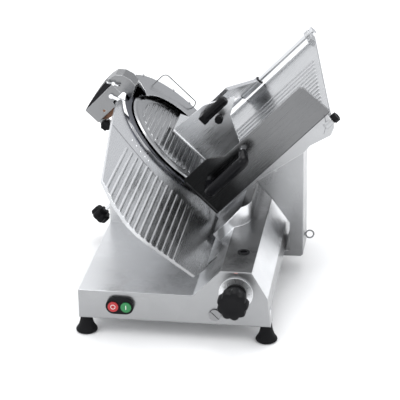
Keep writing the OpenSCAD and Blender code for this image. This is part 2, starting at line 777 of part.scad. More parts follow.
// Cast frame under the tray: side strip and cross ribs
module tray_frame() color("silver") difference() {
    union() {
        tilted_side(wall_y, wall_y + 4) polygon([
            [crease_d, tray_n0], [94, tray_n0 + 65], [96, tray_n0 + 111], [117, tray_n0 + 227],
            [115, tray_n0 + 244], [127, tray_n0 + 289], [120, tray_n1 - 14], [tray_knob_d, tray_knob_n],
            [tray_knob_d - tray_knob_r - 2, tray_knob_n], [crease_d, tray_n1],
        ]);
        tilted() translate([tray_knob_d, wall_y + 4, tray_knob_n - 20]) cylinder(h = 20, r = 8);
        for (n = frame_rib_places) floor_frame() translate([floor_t, -4, n])
            linear_extrude(6) polygon([[0, 0], [14, 0], [6, 268], [0, 268]]);
    }
    tilted() translate([tray_knob_d, wall_y + 4, tray_knob_n - 16]) cylinder(h = 20, r = 4 + fit_gap);
}

arm_outline = [
    [rod_x - 14, 6], [rod_x + 14, 6], [rod_x + 14, 8], [399, 10], [404, 14], [404, 238], [360, 281],
    [285, 204], [308, 172], [339, 136], [376, 84], [375, 22], [rod_x + 14, 22], [rod_x + 14, 32],
    [rod_x - 14, 32],
];

// Part of the arm that carries the tray: everything below the floor
module below_floor() floor_frame() translate([floor_t, -60, 0]) cube([500, 500, 700]);

module carriage_arm() color("silver") difference() {
    intersection() {
        along_y(arm_y0, arm_y1) polygon(arm_outline);
        below_floor();
    }
    // Hollow behind the front wall
    along_y(arm_y0 + wall, arm_y1 + 1) polygon([
        [383, 27], [398, 27], [398, 234], [362, 262], [310, 208], [314, 176], [346, 138], [383, 86],
    ]);
    // Notches for the frame's cross ribs
    floor_frame() for (n = frame_rib_places) translate([floor_t - 1, 0, n - 0.01]) cube([16, 300, 6.02]);
    y_rod(rod_x, rod_z, rod_r + 2.5, arm_y0 - 1, arm_y1 + 1);
    translate([395, ring_y, ring_z]) rotate([0, 90, 0]) cylinder(h = 20, r = 3 + fit_gap);
}

module slide_rod() color("gray") y_rod(rod_x, rod_z, rod_r, 4, base_l - 6);

module slide_bushes() color("gray") for (y = [arm_y0, arm_y1 - 22]) translate([rod_x, y, rod_z])
    rotate([-90, 0, 0]) ring(rod_r + 2.5, rod_r + fit_gap, 22);

grip_lean = atan2(11, 49);

// One leg of the grip, from the bar towards the tray wall
module grip_leg(n) tilted() translate([grip_d, grip_y, n]) rotate(grip_lean) rotate([-90, 0, 0]) children();

module hand_grip() color("black") {
    tilted() translate([grip_d, grip_y, grip_n0]) {
        cylinder(h = grip_n1 - grip_n0, r = grip_r);
        sphere(r = grip_r);
        translate([0, 0, grip_n1 - grip_n0]) sphere(r = grip_r);
    }
    for (n = [grip_n0, grip_n1]) grip_leg(n) cylinder(h = 30, r = grip_r - 2);
}

module grip_ferrules() color("gray") difference() {
    for (n = [grip_n0, grip_n1]) grip_leg(n) translate([0, 0, 30]) cylinder(h = 30, r = 6);
    tilted() translate([-100, wall_y, 200]) cube([300, 60, 300]);
}

module tray_end_knob() color("black") tilted() translate([tray_knob_d, wall_y + 4, tray_knob_n + 0.5]) {
    lobed_knob(tray_knob_r, 7, 11.5);
    translate([0, 0, -15]) cylinder(h = 15, r = 4);
}

// Spring pin with its pull ring
module ring_pull() color("gray") translate([0, ring_y, ring_z]) {
    translate([387, 0, 0]) rotate([0, 90, 0]) cylinder(h = 21, r = 3);
    translate([407 + ring_r, 0, 0]) rotate([45, 0, 0]) rotate_extrude() translate([ring_r, 0])
        circle(r = 1.6, $fn = 32);
}

/* ---------- pusher ---------- */

module pusher_rod() color("gray") tilted() translate([rail_d, rail_y, tray_n0]) {
    cylinder(h = tray_l + 4, r = rail_r);
    translate([0, 0, tray_l + 4]) cylinder(h = 5, r = 9);
}

module pusher_bush() color("gray") tilted() translate([rail_d, rail_y, bush_n0 - 2]) difference() {
    union() {
        cylinder(h = bush_n1 - bush_n0 + 4, r = rail_r + 2);
        for (n = [0, bush_n1 - bush_n0 + 2]) translate([0, 0, n]) cylinder(h = 2, r = 9);
    }
    translate([0, 0, -1]) cylinder(h = bush_n1 - bush_n0 + 6, r = rail_r + fit_gap);
}

module pusher_body() color("silver") difference() {
    union() {
        // Plate that faces the operator
        tilted_side(pusher_y0, pusher_y0 + 4) polygon([
            [-77, pusher_n], [-71, pusher_n + 90], [-40, pusher_n + 152], [-18, pusher_n + 113],
            [40, pusher_n + 84], [46, pusher_n + 50], [46, pusher_n],
        ]);
        // Plate that faces the blade
        tilted() translate([0, 0, pusher_n]) linear_extrude(4) polygon([
            [-77, pusher_y0], [46, pusher_y0], [4, 573], [-10, 573], [-77, 500],
        ]);
        tilted() translate([-76, pusher_y0 + 1, pusher_n + 3]) rotate([0, 90, 0]) cylinder(h = 120, r = 3);
        // Arm to the sleeve
        tilted() translate([0, 0, bush_n0]) linear_extrude(bush_n1 - bush_n0) polygon([
            [-66, pusher_y0 + 3], [-58, pusher_y0 + 3], [rail_d - 2, rail_y - 7], [rail_d - 8, rail_y - 4],
        ]);
        tilted() translate([rail_d, rail_y, bush_n0]) cylinder(h = bush_n1 - bush_n0, r = 10.5);
    }
    tilted() translate([rail_d, rail_y, bush_n0 - 1]) cylinder(h = bush_n1 - bush_n0 + 2, r = rail_r + 2 + fit_gap);
    tilted() translate([grip_stud_d, pusher_y0 - 5, grip_stud_n]) rotate([-90, 0, 0]) cylinder(h = 20, r = 3 + fit_gap);
}

// Short teeth wherever they fall inside the plate that faces the blade
module pusher_spikes() color("gray") tilted() for (d = [-60 : 20 : 20]) for (y = [pusher_y0 + 20 : 20 : 540])
    if (d < 36 - (y - pusher_y0) * 0.25 && y - 500 < (d + 70) * 1.1)
        translate([d, y, pusher_n]) mirror([0, 0, 1]) cylinder(h = 3, r1 = 1.6, r2 = 0.4, $fn = 24);

module pusher_grip() color("black") tilted() translate([-54, 0, 0]) {
    translate([0, 380, 334]) cylinder(h = 54, r = 9.5);
    translate([0, 380, 388]) cylinder(h = 3, r1 = 9.5, r2 = 7);
    for (a = [0 : 30 : 330]) translate([0, 380, 336]) rotate(a) translate([9, 0, 0])
        cylinder(h = 50, r = 1.2, $fn = 24);
    translate([-9.5, 371, 322]) cube([19, pusher_y0 - 371, 12]);
}

module pusher_knob() color("black") tilted() translate([grip_stud_d, pusher_y0 + 4, grip_stud_n])
    rotate([90, 0, 0]) {
    cylinder(h = 22, r = 3);
    translate([0, 0, 22]) lobed_knob(8.5, 7, 12);
}

/* ---------- one line per node ---------- */

machine() base_casting();
machine() base_plate();
machine() case_screws();
machine() rubber_feet();
machine() foot_studs();
machine() switch_housing();
machine() stop_button();
machine() start_button();
machine() switch_block();
machine() dial_disc();
machine() thickness_knob();
machine() dial_shaft();
machine() gauge_cam();
machine() rod_plug();
machine() oil_cap();
machine() cable_gland();
machine() gauge_plate();
machine() gauge_arm();
machine() gauge_guide_rod();
machine() gauge_bolts();
machine() cam_roller();
machine() blade_housing();
machine() blade_shroud();
machine() motor();
machine() motor_pulley();
machine() drive_belt();
machine() blade_hub();
machine() hub_bearings();
machine() blade();
machine() blade_screws();
machine() blade_cover();
machine() cover_rod();
machine() cover_knob();
machine() blade_guard();
machine() guard_wire();
machine() sharpener_bracket();
machine() sharpener_housing();
machine() sharpener_head();
machine() sharpener_cap();
machine() sharpening_stone();
machine() deburring_stone();
machine() sharpener_knob();
machine() wing_nut();
machine() stone_lever();
machine() tray_floor();
machine() tray_wall();
machine() tray_frame();
machine() carriage_arm();
machine() slide_rod();
machine() slide_bushes();
machine() hand_grip();
machine() grip_ferrules();
machine() tray_end_knob();
machine() ring_pull();
machine() pusher_rod();
machine() pusher_bush();
machine() pusher_body();
machine() pusher_spikes();
machine() pusher_grip();
machine() pusher_knob();
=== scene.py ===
"""Looks of a gravity-feed deli slicer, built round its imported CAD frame.

The frame is in metres: X to the right along the front panel, Y back, Z up.
Pieces are drawn in millimetres in the machine's own coordinates, from the base's
lower front left corner, or in the tilted frame: x down the blade plane, y back,
z along the slope of the tray.
"""

import json
import math

import bmesh
import bpy
from mathutils import Matrix, Vector


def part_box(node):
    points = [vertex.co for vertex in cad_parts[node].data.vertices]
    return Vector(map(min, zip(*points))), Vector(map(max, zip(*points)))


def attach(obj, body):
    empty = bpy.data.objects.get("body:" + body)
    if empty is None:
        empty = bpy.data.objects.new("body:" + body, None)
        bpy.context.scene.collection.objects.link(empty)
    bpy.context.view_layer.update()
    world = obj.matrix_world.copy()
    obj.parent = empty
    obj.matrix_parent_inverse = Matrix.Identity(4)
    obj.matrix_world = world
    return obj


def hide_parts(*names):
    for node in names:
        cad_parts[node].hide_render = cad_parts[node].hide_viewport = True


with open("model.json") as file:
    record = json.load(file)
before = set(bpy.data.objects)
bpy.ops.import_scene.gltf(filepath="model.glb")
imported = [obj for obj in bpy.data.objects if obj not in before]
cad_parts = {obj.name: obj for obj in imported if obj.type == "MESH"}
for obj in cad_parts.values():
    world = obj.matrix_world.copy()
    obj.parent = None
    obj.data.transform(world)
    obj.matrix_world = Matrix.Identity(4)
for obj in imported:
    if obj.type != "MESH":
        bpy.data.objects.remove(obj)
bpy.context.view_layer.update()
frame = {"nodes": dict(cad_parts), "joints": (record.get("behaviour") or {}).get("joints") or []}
NODES = frame["nodes"]
JOINTS = {joint["name"]: joint for joint in frame["joints"]}

MM = 0.001
SLOPE = math.radians(45.5)
LEAN = math.pi / 2 - SLOPE
MACHINE = Matrix.Translation(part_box("base_casting")[0]) @ Matrix.Scale(MM, 4)
TILTED = MACHINE @ Matrix.Rotation(LEAN, 4, "Y")
FACING_FRONT = Matrix.Rotation(math.pi / 2, 4, "X")

# Places in the tilted frame that several pieces share.
BLADE_DOWN = -47
BLADE_BACK = 440
GAUGE_FACE = 223.5
STRIP_FACE = 281

# Painted shade: how much of its colour a casting keeps on faces that look front, right, back and left.
UPRIGHT_SHADE_SHARES = {(0, -1, 0): 0.46, (1, 0, 0): 0.40, (0, 1, 0): 0.40, (-1, 0, 0): 0.40}


# ---------- camera, light and floor ----------


def add_camera():
    """Camera at the photograph's viewing angle."""
    camera = bpy.data.cameras.new("camera")
    camera.lens = 151.8
    camera.sensor_width = 36
    camera.clip_end = 50
    holder = bpy.data.objects.new("camera", camera)
    bpy.context.scene.collection.objects.link(holder)
    view = Vector((-0.13945, 0.90709, -0.39715))
    turn = view.to_track_quat("-Z", "Y").to_matrix().to_4x4()
    roll = Matrix.Rotation(math.radians(-0.9), 4, "Z")
    holder.matrix_world = Matrix.Translation((0.46699, -3.097, 1.528)) @ turn @ roll
    bpy.context.scene.camera = holder


def add_area_light(name, place, target, size, power):
    """Square soft box that points at target."""
    light = bpy.data.lights.new(name, "AREA")
    light.shape = "SQUARE"
    light.size = size
    light.energy = power
    holder = bpy.data.objects.new(name, light)
    bpy.context.scene.collection.objects.link(holder)
    aim = (Vector(target) - Vector(place)).to_track_quat("-Z", "Y")
    holder.matrix_world = Matrix.Translation(place) @ aim.to_matrix().to_4x4()


def add_world():
    """Pale studio, greyer low behind the machine, and plain white where the camera sees it."""
    world = bpy.data.worlds.new("studio")
    bpy.context.scene.world = world
    world.use_nodes = True
    tree = world.node_tree
    background = tree.nodes["Background"]
    sky = tree.nodes.new("ShaderNodeTexCoord").outputs["Generated"]
    screen = tree.nodes.new("ShaderNodeValToRGB")
    screen.color_ramp.elements[0].position = 0.80
    screen.color_ramp.elements[0].color = (0.88, 0.89, 0.91, 1)
    screen.color_ramp.elements[1].position = 0.97
    screen.color_ramp.elements[1].color = (0.58, 0.59, 0.61, 1)
    link(tree, dot_product(tree, sky, Vector((0.40, 0.90, 0.12)).normalized()), screen.inputs["Fac"])
    path = tree.nodes.new("ShaderNodeLightPath")
    seen = tree.nodes.new("ShaderNodeMix")
    seen.data_type = "RGBA"
    seen.inputs["B"].default_value = (1, 1, 1, 1)
    link(tree, path.outputs["Is Camera Ray"], seen.inputs["Factor"])
    link(tree, screen.outputs["Color"], seen.inputs["A"])
    link(tree, seen.outputs["Result"], background.inputs["Color"])
    background.inputs["Strength"].default_value = 1.25


def add_floor():
    """Plain pale floor, a hair's breadth under the feet."""
    gap = 0.4 * MM
    mesh = bmesh.new()
    bmesh.ops.create_grid(mesh, x_segments=24, y_segments=24, size=7)
    bmesh.ops.translate(mesh, verts=mesh.verts, vec=(0, 0, -gap))
    data = bpy.data.meshes.new("floor")
    mesh.to_mesh(data)
    mesh.free()
    floor = bpy.data.objects.new("floor", data)
    bpy.context.scene.collection.objects.link(floor)
    paint = surface("floor_paint", (0.97, 0.97, 0.97), 0.9, mottle=0.01, grain_depth=0.05)
    data.materials.append(paint)


# ---------- materials ----------


def link(tree, source, target):
    tree.links.new(source, target)


def dot_product(tree, vector, direction):
    """How far a vector socket reaches along a fixed direction."""
    product = tree.nodes.new("ShaderNodeVectorMath")
    product.operation = "DOT_PRODUCT"
    product.inputs[1].default_value = direction
    link(tree, vector, product.inputs[0])
    return product.outputs["Value"]


def combined(tree, operation, first, second):
    """Two number sockets, added or multiplied."""
    math_node = tree.nodes.new("ShaderNodeMath")
    math_node.operation = operation
    link(tree, first, math_node.inputs[0])
    link(tree, second, math_node.inputs[1])
    return math_node.outputs["Value"]


def grain_coords(tree, stretch, tilt):
    """Object coordinates in metres, turned into the tilted frame if asked, then stretched."""
    coords = tree.nodes.new("ShaderNodeTexCoord").outputs["Object"]
    if tilt:
        turn = tree.nodes.new("ShaderNodeVectorRotate")
        turn.rotation_type = "Y_AXIS"
        turn.inputs["Angle"].default_value = -LEAN
        link(tree, coords, turn.inputs["Vector"])
        coords = turn.outputs["Vector"]
    scale = tree.nodes.new("ShaderNodeVectorMath")
    scale.operation = "MULTIPLY"
    scale.inputs[1].default_value = stretch
    link(tree, coords, scale.inputs[0])
    return scale.outputs["Vector"]


def noise(tree, coords, scale, detail=3.0):
    """Cloudy noise around 0.5. A larger scale gives finer grain."""
    texture = tree.nodes.new("ShaderNodeTexNoise")
    texture.inputs["Scale"].default_value = scale
    texture.inputs["Detail"].default_value = detail
    link(tree, coords, texture.inputs["Vector"])
    return texture.outputs["Fac"]


def to_range(tree, value, low, high, new_low, new_high):
    """value, clamped and mapped from low..high to new_low..new_high."""
    remap = tree.nodes.new("ShaderNodeMapRange")
    limits = {"From Min": low, "From Max": high, "To Min": new_low, "To Max": new_high}
    for name, limit in limits.items():
        remap.inputs[name].default_value = limit
    link(tree, value, remap.inputs["Value"])
    return remap.outputs["Result"]


def mixed(tree, factor, first, second):
    """Colour that goes from first to second with factor. first is a colour or a socket."""
    mix = tree.nodes.new("ShaderNodeMix")
    mix.data_type = "RGBA"
    link(tree, factor, mix.inputs["Factor"])
    if isinstance(first, bpy.types.NodeSocket):
        link(tree, first, mix.inputs["A"])
    else:
        mix.inputs["A"].default_value = (*first, 1)
    mix.inputs["B"].default_value = (*second, 1)
    return mix.outputs["Result"]


def worn_edges(tree, radius):
    """Rounded normal at the edges, and how strongly a point lies on an edge."""
    bevel = tree.nodes.new("ShaderNodeBevel")
    bevel.samples = 6
    bevel.inputs["Radius"].default_value = radius
    flat = tree.nodes.new("ShaderNodeNewGeometry").outputs["Normal"]
    facing = tree.nodes.new("ShaderNodeVectorMath")
    facing.operation = "DOT_PRODUCT"
    link(tree, bevel.outputs["Normal"], facing.inputs[0])
    link(tree, flat, facing.inputs[1])
    return bevel.outputs["Normal"], to_range(tree, facing.outputs["Value"], 0.99, 0.80, 0.0, 1.0)


def place_mask(tree, place, axis, start, end):
    """0 at start and 1 at end, in millimetres along one axis of the matrix place."""
    direction = place.to_3x3().col[axis].normalized()
    origin = place.translation.dot(direction)
    position = tree.nodes.new("ShaderNodeNewGeometry").outputs["Position"]
    along = dot_product(tree, position, direction)
    return to_range(tree, along, origin + start * MM, origin + end * MM, 0.0, 1.0)


def facing_mask(tree, direction):
    """1 on the faces that look straight along direction."""
    normal = tree.nodes.new("ShaderNodeNewGeometry").outputs["Normal"]
    return to_range(tree, dot_product(tree, normal, direction), 0.985, 0.997, 0.0, 1.0)


def darkened(tree, base, mask, share):
    """base, with only this share of it left where the mask is 1."""
    mix = tree.nodes.new("ShaderNodeMix")
    mix.data_type = "RGBA"
    mix.blend_type = "MULTIPLY"
    mix.inputs["B"].default_value = (share, share, share, 1)
    link(tree, mask, mix.inputs["Factor"])
    link(tree, base, mix.inputs["A"])
    return mix.outputs["Result"]


def surface(
    name,
    colour,
    roughness,
    metallic=0.0,
    stretch=(1, 1, 1),
    tilt=False,
    grain=900,
    grain_depth=0.2,
    mottle=0.08,
    mottle_scale=14,
    wear=None,
    edge_radius=0.0,
    coat=0.0,
    specular=0.5,
    fades=(),
):
    """Material with a grain in its bump, mottled colour and roughness, and worn edges.

    Each of the painted shades leaves only a share of the colour, standing in for the darker
    parts of a real studio that the metal would reflect. Its span is the matrix, axis, start
    and end of a place_mask, and its facing is the direction of a facing_mask.
    """
    material = bpy.data.materials.new(name)
    material.use_nodes = True
    tree = material.node_tree
    shader = tree.nodes["Principled BSDF"]
    shader.inputs["Metallic"].default_value = metallic
    shader.inputs["Coat Weight"].default_value = coat
    shader.inputs["Coat Roughness"].default_value = 0.08
    shader.inputs["Specular IOR Level"].default_value = specular
    fine = noise(tree, grain_coords(tree, stretch, tilt), grain)
    broad = noise(tree, grain_coords(tree, (1, 1, 1), tilt), mottle_scale, detail=5.0)
    shade = [channel * (1 - 2 * mottle) for channel in colour]
    base = mixed(tree, to_range(tree, broad, 0.3, 0.7, 0.0, 1.0), colour, shade)
    fine_rough = to_range(tree, fine, 0.3, 0.7, -0.25 * roughness, 0.25 * roughness)
    broad_rough = to_range(tree, broad, 0.3, 0.7, 0.8 * roughness, 1.2 * roughness)
    link(tree, combined(tree, "ADD", fine_rough, broad_rough), shader.inputs["Roughness"])
    bump = tree.nodes.new("ShaderNodeBump")
    bump.inputs["Strength"].default_value = grain_depth
    bump.inputs["Distance"].default_value = 0.0002
    link(tree, fine, bump.inputs["Height"])
    if edge_radius:
        rounded, edge = worn_edges(tree, edge_radius)
        link(tree, rounded, bump.inputs["Normal"])
        if wear:
            patches = to_range(tree, broad, 0.35, 0.6, 0.35, 1.0)
            base = mixed(tree, combined(tree, "MULTIPLY", edge, patches), base, wear)
    # Painted shade: each mask leaves only a share of the colour where it is 1.
    for fade in fades:
        masks = []
        if "span" in fade:
            masks.append(place_mask(tree, *fade["span"]))
        if "facing" in fade:
            masks.append(facing_mask(tree, fade["facing"]))
        # A mask on its own is squared, which eases its start.
        mask = combined(tree, "MULTIPLY", masks[0], masks[-1])
        base = darkened(tree, base, mask, fade["share"])
    link(tree, base, shader.inputs["Base Color"])
    link(tree, bump.outputs["Normal"], shader.inputs["Normal"])
    return material


BRIGHT = (0.95, 0.96, 0.97)
ALONG_Y = (1.0, 0.02, 1.0)
ALONG_SLOPE = (1.0, 1.0, 0.02)


def metal(name, grey, roughness, **details):
    """Bare metal of a slightly cool grey, with brighter edges."""
    colour = (grey * 0.985, grey * 0.995, grey * 1.01)
    details = {"edge_radius": 0.0012, "wear": BRIGHT, "mottle": 0.03, **details}
    return surface(name, colour, roughness, metallic=1.0, **details)


def plastic(name, colour, roughness, **details):
    """Moulded plastic with a fine mould texture and paler, rubbed edges."""
    rubbed = tuple(channel * 0.8 + 0.02 for channel in colour)
    texture = {"grain": 2500, "grain_depth": 0.12, "specular": 0.3}
    details = {"edge_radius": 0.0007, "wear": rubbed, **texture, **details}
    return surface(name, colour, roughness, **details)


# Painted shade: these darken a metal's colour by the way its faces look and by place. They stand in for the
# darker parts of the studio the metal would reflect.
UPRIGHT_PAINTED_SHADES = tuple({"facing": facing, "share": share} for facing, share in UPRIGHT_SHADE_SHARES.items())
REAR_PAINTED_SHADES = UPRIGHT_PAINTED_SHADES[2:]
# Painted shade: the upward faces of the base's raised top are darkened, for the dark reflection of the tray
# above them.
RAISED_TOP_PAINTED_SHADE = {"span": (MACHINE, 2, 80, 90), "facing": (0, 0, 1), "share": 0.30}
GAUGE_PAINTED_SHADE = {"span": (TILTED, 0, -100, -10), "share": 0.50}
WALL_PAINTED_SHADE = {"span": (TILTED, 2, 500, 300), "share": 0.15}
ARM_PAINTED_SHADE = {"span": (TILTED, 2, 480, 300), "share": 0.55}

MATERIALS = {
    "casting": metal(
        "satin_casting_painted_shade", 0.76, 0.30, edge_radius=0.0030, grain=2200, grain_depth=0.10,
        fades=(*UPRIGHT_PAINTED_SHADES, RAISED_TOP_PAINTED_SHADE),
    ),
    "sheet": metal("plain_sheet", 0.50, 0.38),
    # Painted shade: the lower part of the thickness plate keeps only half its colour, for the darker things
    # it reflects.
    "gauge": metal(
        "brushed_gauge_painted_shade", 0.74, 0.27, stretch=ALONG_Y, tilt=True, grain=1800, grain_depth=0.04,
        fades=(GAUGE_PAINTED_SHADE,),
    ),
    "lever": metal("cast_lever", 0.40, 0.36),
    # Painted shade: the housing's back and left faces keep only part of their colour.
    "housing": metal(
        "satin_housing_painted_shade", 0.55, 0.30, edge_radius=0.0030, grain=2200, grain_depth=0.08, fades=REAR_PAINTED_SHADES,
    ),
    "shroud": metal("spun_shroud", 0.46, 0.22, edge_radius=0.0015),
    "guard": metal("polished_guard", 0.46, 0.17, tilt=True, edge_radius=0.0015, grain_depth=0.05),
    "cover": metal("polished_cover", 0.38, 0.15, stretch=ALONG_Y, tilt=True, grain_depth=0.05),
    # Painted shade: the blade's near-black colour stands in for the dark band the polished blade shows beside
    # the guard.
    "blade": surface(
        "ground_blade_painted_dark", (0.045, 0.050, 0.070), 0.10, metallic=1.0, grain=3000, grain_depth=0.02, mottle=0.04,
    ),
    "floor": metal("brushed_tray", 0.58, 0.26, stretch=ALONG_SLOPE, tilt=True, grain_depth=0.06),
    # Painted shade: the tray wall's dark grey stands in for the shade it sits in. It grows darker still
    # towards the lower end of the slope.
    "wall": metal(
        "satin_tray_wall_painted_shade", 0.19, 0.24, stretch=ALONG_SLOPE, tilt=True, grain_depth=0.06, fades=(WALL_PAINTED_SHADE,),
    ),
    # Painted shade: the arm and tray frame darken towards the lower end of the slope.
    "arm": metal(
        "satin_arm_painted_shade", 0.46, 0.32, edge_radius=0.0030, grain=2200, grain_depth=0.08, fades=(ARM_PAINTED_SHADE,),
    ),
    "pusher": metal("polished_pusher", 0.78, 0.30, tilt=True, stretch=ALONG_SLOPE, grain_depth=0.04),
    "sharpener": metal("sharpener_casting", 0.24, 0.26, edge_radius=0.0020, grain=2200, grain_depth=0.08),
    "head": metal("sharpener_head_casting", 0.25, 0.27, edge_radius=0.0020, grain_depth=0.08),
    "dial": metal("dial_face", 0.78, 0.30, stretch=(1.0, 1.0, 0.05), grain_depth=0.06),
    "turned": metal("turned_steel", 0.50, 0.24, stretch=(0.1, 1, 0.1), grain=1400),
    "brass": surface(
        "turned_brass", (0.60, 0.44, 0.20), 0.28, metallic=1.0, stretch=(0.1, 1, 0.1), grain=1400,
        edge_radius=0.0008, wear=(0.85, 0.72, 0.45),
    ),
    "chrome": metal("bright_chrome", 0.80, 0.07, grain_depth=0.02, edge_radius=0.0005),
    "wire": metal("dull_chrome", 0.26, 0.16, grain_depth=0.02, edge_radius=0.0003, wear=(0.6, 0.6, 0.62)),
    "black": plastic("black_plastic", (0.005, 0.005, 0.006), 0.42, specular=0.12),
    "gloss": plastic("black_phenolic", (0.003, 0.003, 0.004), 0.25, grain_depth=0.03, specular=0.15),
    "cap": plastic("dark_cap", (0.010, 0.010, 0.012), 0.32, grain_depth=0.03, specular=0.15),
    "red": plastic("red_button", (0.42, 0.025, 0.03), 0.28, coat=0.3, grain_depth=0.03),
    "green": plastic("green_button", (0.02, 0.20, 0.06), 0.28, coat=0.3, grain_depth=0.03),
    "rubber": plastic(
        "black_rubber", (0.006, 0.006, 0.007), 0.55, mottle=0.15, grain=1500, grain_depth=0.35, specular=0.12,
    ),
    "enamel": plastic("motor_enamel", (0.10, 0.105, 0.12), 0.35, grain=700),
    "stone": surface(
        "bonded_grit", (0.24, 0.12, 0.07), 0.85, grain=2600, grain_depth=1.0, mottle=0.2, mottle_scale=500,
    ),
    # Dark print for the dial and index marks, and painted shade in the crease of the thickness plate and the
    # gaps at the tray.
    "dark_ink_and_painted_shade": surface("engraved_ink_and_painted_shade", (0.05, 0.05, 0.055), 0.6, grain_depth=0.1),
    "white_ink": surface("printed_white", (0.80, 0.80, 0.78), 0.5, grain_depth=0.1),
    "label": surface("index_label", (0.55, 0.30, 0.28), 0.5, grain_depth=0.1),
}

NODE_MATERIALS = {
    "casting": ["base_casting"],
    "sheet": ["base_plate"],
    "gauge": ["gauge_plate"],
    "lever": ["gauge_arm"],
    "housing": ["blade_housing", "sharpener_bracket"],
    "shroud": ["blade_shroud"],
    "guard": ["blade_guard"],
    "cover": ["blade_cover"],
    "blade": ["blade"],
    "floor": ["tray_floor"],
    "wall": ["tray_wall"],
    "arm": ["carriage_arm", "tray_frame"],
    "pusher": ["pusher_body"],
    "sharpener": ["sharpener_housing"],
    "head": ["sharpener_head"],
    "dial": ["dial_disc"],
    "turned": [
        "case_screws", "foot_studs", "dial_shaft", "gauge_cam", "gauge_guide_rod", "gauge_bolts",
        "cam_roller", "motor_pulley", "blade_hub", "hub_bearings", "blade_screws", "pusher_spikes",
    ],
    "brass": ["slide_bushes"],
    "chrome": ["cover_rod", "wing_nut", "stone_lever", "slide_rod", "grip_ferrules", "pusher_rod"],
    "wire": ["rod_plug", "guard_wire", "ring_pull"],
    "black": [
        "switch_housing", "switch_block", "oil_cap", "cable_gland", "cover_knob", "sharpener_knob",
        "tray_end_knob", "pusher_bush", "pusher_knob", "thickness_knob",
    ],
    "gloss": ["hand_grip", "pusher_grip"],
    "cap": ["sharpener_cap"],
    "red": ["stop_button"],
    "green": ["start_button"],
    "rubber": ["rubber_feet", "drive_belt"],
    "enamel": ["motor"],
    "stone": ["sharpening_stone", "deburring_stone"],
}


def dress_nodes():
    """Gives every CAD node its material."""
    for key, names in NODE_MATERIALS.items():
        for name in names:
            data = NODES[name].data
            data.materials.clear()
            data.materials.append(MATERIALS[key])


# ---------- mesh building ----------


def turned(profile, steps=96, lobes=0, depth=0.0):
    """Turned form about +Z. A profile row is height, radius and its share of the lobing."""
    mesh = bmesh.new()
    rings = []
    for height, radius, lobing in profile:
        ring = []
        for i in range(steps):
            angle = 2 * math.pi * i / steps
            groove = 1 - abs(math.cos(lobes * angle / 2))
            reach = radius * (1 - depth * lobing * groove)
            ring.append(mesh.verts.new((reach * math.cos(angle), reach * math.sin(angle), height)))
        rings.append(ring)
    for low, high in zip(rings, rings[1:]):
        for i in range(steps):
            j = (i + 1) % steps
            mesh.faces.new((low[i], low[j], high[j], high[i]))
    mesh.faces.new(reversed(rings[0]))
    mesh.faces.new(rings[-1])
    return mesh


def rounded_path(corners, radius, steps=8):
    """The points of a line whose inner corners are eased over radius."""
    points = [Vector(corners[0])]
    for before, corner, after in zip(corners, corners[1:], corners[2:]):
        before, corner, after = Vector(before), Vector(corner), Vector(after)
        start = corner + (before - corner).normalized() * radius
        end = corner + (after - corner).normalized() * radius
        for i in range(steps + 1):
            t = i / steps
            points.append(start * (1 - t) ** 2 + corner * 2 * t * (1 - t) + end * t**2)
    points.append(Vector(corners[-1]))
    return points


def swept(points, radii, steps=32):
    """Round bar along points, with a radius at each and domed ends."""
    mesh = bmesh.new()
    end = len(points) - 1
    tangents = [(points[min(i + 1, end)] - points[max(i - 1, 0)]).normalized() for i in range(end + 1)]
    side = tangents[0].orthogonal().normalized()
    rows = []
    for point, tangent, radius in zip(points, tangents, radii):
        side = (side - tangent * side.dot(tangent)).normalized()
        rows.append((point, tangent, side, radius))
    domes = [math.radians(angle) for angle in (22, 44, 66, 84)]
    first, last = rows[0], rows[-1]
    for angle in domes:
        out, across = math.sin(angle), math.cos(angle)
        rows.insert(0, (first[0] - first[1] * first[3] * out, first[1], first[2], first[3] * across))
        rows.append((last[0] + last[1] * last[3] * out, last[1], last[2], last[3] * across))
    rings = []
    for point, tangent, across, radius in rows:
        up = tangent.cross(across)
        angles = [2 * math.pi * i / steps for i in range(steps)]
        rims = [across * math.cos(angle) + up * math.sin(angle) for angle in angles]
        rings.append([mesh.verts.new(point + rim * radius) for rim in rims])
    for low, high in zip(rings, rings[1:]):
        for i in range(steps):
            j = (i + 1) % steps
            mesh.faces.new((low[i], low[j], high[j], high[i]))
    mesh.faces.new(reversed(rings[0]))
    mesh.faces.new(rings[-1])
    return mesh


def add_block(mesh, place, size):
    """Adds one box, centred on the matrix place."""
    bmesh.ops.create_cube(mesh, size=1, matrix=place @ Matrix.Diagonal((*size, 1)))


def add_numeral(mesh, text, place, size):
    """Adds a numeral as a thin raised form, standing on the plane of the matrix place."""
    curve = bpy.data.curves.new("numeral", "FONT")
    curve.body = text
    curve.size = size
    curve.align_x = "CENTER"
    curve.align_y = "CENTER"
    curve.extrude = 0.06
    holder = bpy.data.objects.new("numeral", curve)
    bpy.context.scene.collection.objects.link(holder)
    bpy.context.view_layer.update()
    shape = bpy.data.meshes.new_from_object(holder.evaluated_get(bpy.context.evaluated_depsgraph_get()))
    shape.transform(place)
    mesh.from_mesh(shape)
    bpy.data.objects.remove(holder)
    bpy.data.curves.remove(curve)
    bpy.data.meshes.remove(shape)


def add_piece(name, mesh, place, material, body, replaced=None):
    """Turns a bmesh drawn in millimetres into a piece that rides on a body."""
    data = bpy.data.meshes.new(name)
    bmesh.ops.recalc_face_normals(mesh, faces=mesh.faces)
    mesh.to_mesh(data)
    mesh.free()
    data.transform(place)
    data.shade_smooth()
    data.set_sharp_from_angle(angle=math.radians(35))
    data.materials.append(MATERIALS[material])
    piece = bpy.data.objects.new(name, data)
    bpy.context.scene.collection.objects.link(piece)
    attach(piece, body)
    if replaced:
        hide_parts(replaced)


